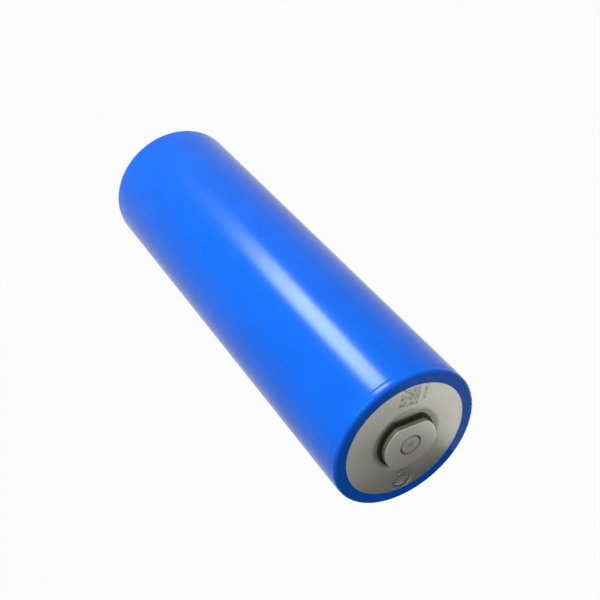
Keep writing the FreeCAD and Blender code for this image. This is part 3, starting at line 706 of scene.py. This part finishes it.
# The colour, strength and reach of the painted shade at the centre dimple.
DIMPLE_SHADE_COLOUR, DIMPLE_SHADE_MOST, DIMPLE_SHADE_FULL, DIMPLE_SHADE_REACH = (0.24, 0.235, 0.205), 0.6, 0.255, 1.19
LATHE_PITCH, LATHE_SHARE = 0.085, 0.35

dimple = []
for i in range(DIMPLE_ROWS, -1, -1):
    share = i / DIMPLE_ROWS
    dimple.append((DIMPLE_RADIUS * share, TOP - DIMPLE_DEPTH * (0.5 + 0.5 * math.cos(math.pi * share))))
rivet = turned("terminal_rivet", [
    *rounded([
        (0, RIVET_UNDER, 0), (RIVET_HEAD_RADIUS, RIVET_UNDER, HEAD_EDGE),
        (RIVET_HEAD_RADIUS, INNER_UNDER, HEAD_EDGE), (RIVET_RADIUS, INNER_UNDER, 0),
        (RIVET_RADIUS, TOP - GROOVE, 0),
    ]),
    (RIVET_RADIUS - GROOVE, TOP), (RIVET_RADIUS - GROOVE_FAR, TOP), (FLAT_FROM, TOP), *dimple,
], steps=128)
faced = Finish("faced_aluminium", (0.54, 0.53, 0.47), (0.59, 0.58, 0.515), (0.38, 0.50), 5200, 4e-6,
               Metallic=1.0)
tree = faced.tree
turns = reckon(tree, "MULTIPLY", from_line(faced), 2 * math.pi / (LATHE_PITCH * MM))
lathe_rings = reckon(tree, "SINE", turns)
faced.height = reckon(tree, "MULTIPLY_ADD", lathe_rings, LATHE_SHARE, faced.relief)
# Painted shade: a soft darker spot over and round the shallow centre dimple.
dimple_shade = spread(tree, from_line(faced), DIMPLE_SHADE_MOST, 0.0, DIMPLE_SHADE_FULL * MM, DIMPLE_SHADE_REACH * MM)
faced.colour = between(tree, dimple_shade, faced.colour, DIMPLE_SHADE_COLOUR)
grime_in_joint(faced)
hand_over(rivet, faced.done(), "terminal_rivet")


# ---- Fill plug
# A small aluminium disc, dropped over the rubber pin and closed with a laser. The pulses overlap as scales
# round its edge, shinier than the disc and a little uneven.
PLUG_UNDER, PLUG_INNER_RING = 132.10, 0.5
BEAD_WIDTH, BEAD_HEIGHT, BEAD_ROWS = 0.9, 0.0372, 8
SCALES, SCALE_ROUND, SCALE_ROWS = 18, 12, 6
SCALE_SIZE, SCALE_TILT, SCALE_SUNK = (0.36, 0.36, 0.10), 13, 0.03
SHINE_FROM, SHINE_FULL, SHINE_ROUGH = 1.4, 1.6, 0.6
# The place, colour, strength and reach of a ring of painted shade round the plug.
RIM_RADIUS, RIM_SHADE_COLOUR, RIM_SHADE_MOST, RIM_REACH = 2.4, (0.20, 0.18, 0.15), 0.6, 0.25

bead = []
for i in range(BEAD_ROWS + 1):
    angle = math.pi * i / BEAD_ROWS
    aside, lift = BEAD_WIDTH / 2 * math.cos(angle), BEAD_HEIGHT * math.sin(angle)
    bead.append((PLUG_RADIUS + aside, PORT_FLOOR + lift))
plug = turned("fill_plug", [
    (0, PLUG_UNDER), (PLUG_RADIUS, PLUG_UNDER), (PLUG_RADIUS, PORT_FLOOR),
    *bead, (PLUG_INNER_RING, PORT_FLOOR), (0, PORT_FLOOR),
], y=PORT_CENTRE, steps=128)
pulse = empty_piece("weld_pulse")
ball = bmesh.new()
bmesh.ops.create_uvsphere(ball, u_segments=SCALE_ROUND, v_segments=SCALE_ROWS, radius=MM)
bmesh.ops.scale(ball, vec=SCALE_SIZE, verts=ball.verts)
tilt = Matrix.Rotation(math.radians(SCALE_TILT), 3, "X")
bmesh.ops.rotate(ball, cent=(0, 0, 0), matrix=tilt, verts=ball.verts)
ball.to_mesh(pulse.data)
ball.free()
bright = Finish("pulsed_weld", (0.50, 0.49, 0.45), (0.58, 0.57, 0.53), (0.42, 0.54), 2600, 4e-6,
                Metallic=1.0)
tree = bright.tree
from_port = from_line(bright, PORT_CENTRE)
on_bead = spread(tree, from_port, 0.0, 1.0, SHINE_FROM * MM, SHINE_FULL * MM)
bright.rough = reckon(tree, "MULTIPLY", bright.rough, spread(tree, on_bead, 1.0, SHINE_ROUGH))
# Painted shade: a darker ring over the bead's outer edge, standing in for the shade round the plug in its seat.
off_rim = reckon(tree, "ABSOLUTE", reckon(tree, "SUBTRACT", from_port, RIM_RADIUS * MM))
rim_shade = spread(tree, off_rim, RIM_SHADE_MOST, 0.0, 0.0, RIM_REACH * MM)
bright.colour = between(tree, rim_shade, bright.colour, RIM_SHADE_COLOUR)
run_tree(plug, RING_OF_MARKS, {
    "Shape": pulse, "Count": SCALES, "Circle": PLUG_RADIUS * MM,
    "Centre": (0, PORT_CENTRE * MM, (PORT_FLOOR + BEAD_HEIGHT - SCALE_SUNK) * MM),
    "Size Least": 0.5, "Size Most": 1.1, "Twist": 0.16, "Seed": 11,
})
bpy.data.objects.remove(pulse)
hand_over(plug, bright.done(), "fill_plug", sharp=50)


# ---- Shrink sleeve
# Polyester film, printed solid blue and shrunk on with hot air, so it lies on the can, draws in where the cover
# is welded on, and folds over both ends. It is satin, very slightly pebbled, and a little uneven at the lip.
BODY_RADIUS, FILM, LIP_RADIUS, SHOULDER = 20.15, 0.15, 16.8, 1.0
LIP_EDGE = 0.045  # the film's cut edge, barely rounded
BODY_ROWS, INNER_ROWS, LIP_ROWS, CORNER_STEPS = 28, 6, 7, 8
LIP_LIFT, LIP_RAGGED, LIP_KEPT = 0.035, 0.05, 0.1
LIP_WAVE, LIP_FRAY = 260.0, 120.0  # how close the unevenness is, up and sideways
STEP_IN, STEP_LOW, STEP_HIGH, STEP_ROWS = 0.07, 130.62, 131.24, 8
CORNER_ROOM = 1.25 * SHOULDER  # a corner's points stay within this


def run(start, end, rows):
    """Points between two corners of the film's section, corners left out."""
    a, b = Vector(start), Vector(end)
    return [tuple(a.lerp(b, i / rows)) for i in range(1, rows)]


def film_section():
    """The film cut along the axis, from the top lip's edge down the outside and back up the inside."""
    drawn_in = BODY_RADIUS - STEP_IN
    outside = [(LIP_RADIUS, SLEEVE_TOP), (drawn_in, SLEEVE_TOP), (BODY_RADIUS, 0), (LIP_RADIUS, 0)]
    inner = BODY_RADIUS - FILM
    inside = [(LIP_RADIUS, FILM), (inner, FILM), (inner, COVER_TOP), (LIP_RADIUS, COVER_TOP)]
    radii = [LIP_EDGE, SHOULDER - STEP_IN, SHOULDER, LIP_EDGE]
    radii += [LIP_EDGE, SHOULDER - FILM, SHOULDER - FILM, LIP_EDGE]
    low, high = CORNER_ROOM, SLEEVE_TOP - CORNER_ROOM
    turn_in, lip = BODY_RADIUS - CORNER_ROOM, LIP_RADIUS + LIP_KEPT
    step = [(drawn_in, high)]
    for i in range(STEP_ROWS + 1):
        share = i / STEP_ROWS
        outward = STEP_IN * share * share * (3 - 2 * share)
        step.append((drawn_in + outward, STEP_HIGH + (STEP_LOW - STEP_HIGH) * share))
    stretches = [
        run((lip, SLEEVE_TOP), (turn_in, SLEEVE_TOP), LIP_ROWS),
        step + run((BODY_RADIUS, STEP_LOW), (BODY_RADIUS, low), BODY_ROWS),
        run((turn_in, 0), (lip, 0), LIP_ROWS),
        [],
        run((lip, FILM), (turn_in, FILM), LIP_ROWS),
        run((inner, low), (inner, high), INNER_ROWS),
        run((turn_in, COVER_TOP), (lip, COVER_TOP), LIP_ROWS),
        [],
    ]
    made = []
    for corner, radius, stretch in zip(outside + inside, radii, stretches):
        made.append((corner, radius))
        made += [(point, 0.0) for point in stretch]
    return made


def make_film_tree():
    """Rounds the corners of the film's section, sweeps it round the axis, and makes the top lip uneven."""
    tree, given, result = geometry_tree("shrunk_film", {
        "Path Radius": "Float", "Points Round": "Int", "Corner Steps": "Int",
        "Lip Level": "Float", "Lip Outer": "Float", "Lip Inner": "Float",
        "Lift": "Float", "Ragged": "Float", "Material": "Material",
    })
    g = given.outputs
    line = add(tree, "GeometryNodeMeshToCurve", {"Mesh": g["Geometry"]})
    corner = add(tree, "GeometryNodeInputNamedAttribute", {"Name": "corner"}, data_type="FLOAT")
    eased = add(tree, "GeometryNodeFilletCurve", {
        "Curve": line.outputs[0], "Count": g["Corner Steps"], "Radius": corner.outputs["Attribute"],
        "Limit Radius": True,
    }, mode="POLY")
    circle = {"Resolution": g["Points Round"], "Radius": g["Path Radius"]}
    path = add(tree, "GeometryNodeCurvePrimitiveCircle", circle)
    level = add(tree, "GeometryNodeSetCurveNormal", {"Curve": path.outputs["Curve"]}, mode="Z_UP")
    curves = {"Curve": level.outputs[0], "Profile Curve": eased.outputs[0]}
    swept = add(tree, "GeometryNodeCurveToMesh", curves)
    place = tree.nodes.new("GeometryNodeInputPosition").outputs[0]
    parts = add(tree, "ShaderNodeSeparateXYZ", {0: place}).outputs
    flat = add(tree, "ShaderNodeCombineXYZ", {"X": parts["X"], "Y": parts["Y"]}).outputs[0]
    radius = add(tree, "ShaderNodeVectorMath", {0: flat}, operation="LENGTH").outputs["Value"]
    on_lip = reckon(tree, "GREATER_THAN", parts["Z"], g["Lip Level"])
    share = reckon(tree, "MULTIPLY", on_lip, spread(tree, radius, 0, 1, g["Lip Outer"], g["Lip Inner"]))
    wave = add(tree, "ShaderNodeTexNoise", {"Vector": flat, "Scale": LIP_WAVE, "Detail": 2.0}).outputs["Fac"]
    lift = reckon(tree, "MULTIPLY", reckon(tree, "MULTIPLY", wave, share), g["Lift"])
    slow = add(tree, "ShaderNodeTexNoise", {"Vector": flat, "Scale": LIP_FRAY, "Detail": 3.0}).outputs["Fac"]
    either_way = reckon(tree, "MULTIPLY", reckon(tree, "SUBTRACT", slow, 0.5), share)
    shift = reckon(tree, "MULTIPLY", either_way, g["Ragged"])
    outward = add(tree, "ShaderNodeVectorMath", {0: flat}, operation="NORMALIZE").outputs[0]
    sideways = add(tree, "ShaderNodeVectorMath", {0: outward, "Scale": shift}, operation="SCALE").outputs[0]
    upward = add(tree, "ShaderNodeCombineXYZ", {"Z": lift}).outputs[0]
    offset = add(tree, "ShaderNodeVectorMath", {0: sideways, 1: upward}, operation="ADD").outputs[0]
    moved = add(tree, "GeometryNodeSetPosition", {"Geometry": swept.outputs[0], "Offset": offset})
    whole = add(tree, "GeometryNodeRealizeInstances", {"Geometry": moved.outputs[0]})
    given_finish = {"Geometry": whole.outputs[0], "Material": g["Material"]}
    finished = add(tree, "GeometryNodeSetMaterial", given_finish)
    tree.links.new(finished.outputs[0], result.inputs["Geometry"])
    return tree


section = film_section()
sleeve = empty_piece("shrink_sleeve")
count = len(section)
section_points = [((r - BODY_RADIUS) * MM, -z * MM, 0) for (r, z), corner in section]
sleeve.data.from_pydata(section_points, [(i, (i + 1) % count) for i in range(count)], [])
corner_radii = sleeve.data.attributes.new("corner", "FLOAT", "POINT")
corner_radii.data.foreach_set("value", [corner * MM for point, corner in section])
film = Finish("blue_film", (0.0010, 0.135, 0.79), (0.0020, 0.150, 0.87), (0.19, 0.24), 1500, 1.6e-6,
              Specular_IOR_Level=0.12, Specular_Tint=(0.72, 0.95, 1.0, 1.0))
run_tree(sleeve, make_film_tree(), {
    "Path Radius": BODY_RADIUS * MM, "Points Round": ROUND, "Corner Steps": CORNER_STEPS,
    "Lip Level": (COVER_TOP - 0.01) * MM,
    "Lip Outer": (BODY_RADIUS - SHOULDER) * MM, "Lip Inner": LIP_RADIUS * MM,
    "Lift": LIP_LIFT * MM, "Ragged": LIP_RAGGED * 2 * MM, "Material": film.material,
})
hand_over(sleeve, film.done(), "shrink_sleeve", sharp=60)


# ---- Floor, light and camera
# A white table under soft lamps. The cell stands on its foot, and the camera looks down at its terminal end,
# tilted far over. The table shows white, keeps the cell's shadow, and lets light from below through.
def aimed(name, place, target, width, height, radiance):
    """A soft lamp. Its power is set so that its face has the given brightness."""
    light = bpy.data.lights.new(name, "AREA")
    light.shape, light.size, light.size_y = "RECTANGLE", width, height
    light.energy = radiance * math.pi * width * height
    lamp = bpy.data.objects.new(name, light)
    lamp.location = place
    lamp.rotation_mode = "QUATERNION"
    lamp.rotation_quaternion = (Vector(target) - Vector(place)).to_track_quat("-Z", "Y")
    lamp.visible_camera = False
    bpy.context.scene.collection.objects.link(lamp)
    return light


def beside(angle, away, height):
    """A place at an angle from +X, in degrees, that far from the axis and that high, in metres."""
    return (away * math.cos(math.radians(angle)), away * math.sin(math.radians(angle)), height)


streak = aimed("streak_lamp", beside(-79, 0.30, -0.122), (0, 0, 0.11), 0.115, 0.13, 46.0)
streak.cycles.use_multiple_importance_sampling = False
bpy.data.objects["streak_lamp"].visible_diffuse = False
aimed("front_lamp", beside(-58, 0.75, 0.05), (0, 0, 0.07), 0.80, 0.60, 4.5)
aimed("back_lamp", beside(142, 0.90, -0.03), (0, 0, 0.06), 0.34, 0.60, 5.5)

# A dark card beside the terminal end gives its metal a dark side, as a studio's far wall does.
CARD_AWAY, CARD_NEAR, CARD_FAR, CARD_FOOT, CARD_TOP = 0.0245, -0.0068, 0.080, 0.1325, 0.168
CARD_FACING = 124  # degrees from +X
card = empty_piece("dark_card")
outward, along_card = Vector(beside(CARD_FACING, 1.0, 0)), Vector(beside(CARD_FACING - 90, 1.0, 0))
card_corners = [(CARD_NEAR, CARD_FOOT), (CARD_FAR, CARD_FOOT), (CARD_FAR, CARD_TOP), (CARD_NEAR, CARD_TOP)]
card.data.from_pydata([
    outward * CARD_AWAY + along_card * v + Vector((0, 0, z)) for v, z in card_corners
], [], [(0, 1, 2, 3)])
black = Finish("black_card", (0.01, 0.01, 0.01), (0.015, 0.015, 0.015), (0.9, 1.0), 900, 1e-5)
card.data.materials.append(black.done())
card.visible_camera = card.visible_diffuse = card.visible_shadow = False


def shows_white(tree):
    """1 for what the camera sees, straight or in metal and glass, and 0 for light on the object."""
    rays = tree.nodes.new("ShaderNodeLightPath").outputs
    mirrored = reckon(tree, "MAXIMUM", rays["Is Glossy Ray"], rays["Is Transmission Ray"])
    return reckon(tree, "MAXIMUM", rays["Is Camera Ray"], mirrored)


FLOOR_HALF, FLOOR_WHITE, FLOOR_GLOW, GLOW_SHARE, WORLD_LEVEL = 3.0, 0.92, 1.03, 0.92, 0.24
floor = empty_piece("floor")
floor.data.from_pydata([
    (-FLOOR_HALF, -FLOOR_HALF, 0), (FLOOR_HALF, -FLOOR_HALF, 0),
    (FLOOR_HALF, FLOOR_HALF, 0), (-FLOOR_HALF, FLOOR_HALF, 0),
], [], [(0, 1, 2, 3)])
table = bpy.data.materials.new("white_table")
table.use_nodes = True
tree = table.node_tree
tree.nodes.remove(tree.nodes["Principled BSDF"])
back = tree.nodes.new("ShaderNodeNewGeometry").outputs["Backfacing"]
seen = reckon(tree, "MULTIPLY", shows_white(tree), reckon(tree, "SUBTRACT", 1.0, back))
lit = add(tree, "ShaderNodeBsdfDiffuse", {"Color": (*[FLOOR_WHITE] * 3, 1)}).outputs[0]
glow = add(tree, "ShaderNodeEmission", {"Color": (1, 1, 1, 1), "Strength": FLOOR_GLOW}).outputs[0]
white = add(tree, "ShaderNodeMixShader", {0: GLOW_SHARE, 1: lit, 2: glow}).outputs[0]
clear = tree.nodes.new("ShaderNodeBsdfTransparent").outputs[0]
mixed = add(tree, "ShaderNodeMixShader", {0: seen, 1: clear, 2: white})
tree.links.new(mixed.outputs[0], tree.nodes["Material Output"].inputs["Surface"])
floor.data.materials.append(table)

world = bpy.data.worlds.new("studio")
world.use_nodes = True
bpy.context.scene.world = world
tree = world.node_tree
light = tree.nodes["Background"].inputs
light["Color"].default_value = (1, 1, 1, 1)
tree.links.new(spread(tree, shows_white(tree), WORLD_LEVEL, 1.0), light["Strength"])

camera_data = bpy.data.cameras.new("camera")
camera_data.lens, camera_data.sensor_width = 62.70, 36.0
camera_data.clip_start, camera_data.clip_end = 0.01, 20.0
camera = bpy.data.objects.new("camera", camera_data)
bpy.context.scene.collection.objects.link(camera)
camera_place = (0.11431668, -0.17603225, 0.27478815)
right, up = (-0.86832, -0.02094, 0.49556), (-0.28283, -0.79987, -0.52937)
backward = (0.40746, -0.59982, 0.68861)
camera_turn = Matrix((right, up, backward)).transposed().to_4x4()
camera.matrix_world = Matrix.Translation(camera_place) @ camera_turn
bpy.context.scene.camera = camera
bpy.context.scene.view_settings.view_transform = "Standard"
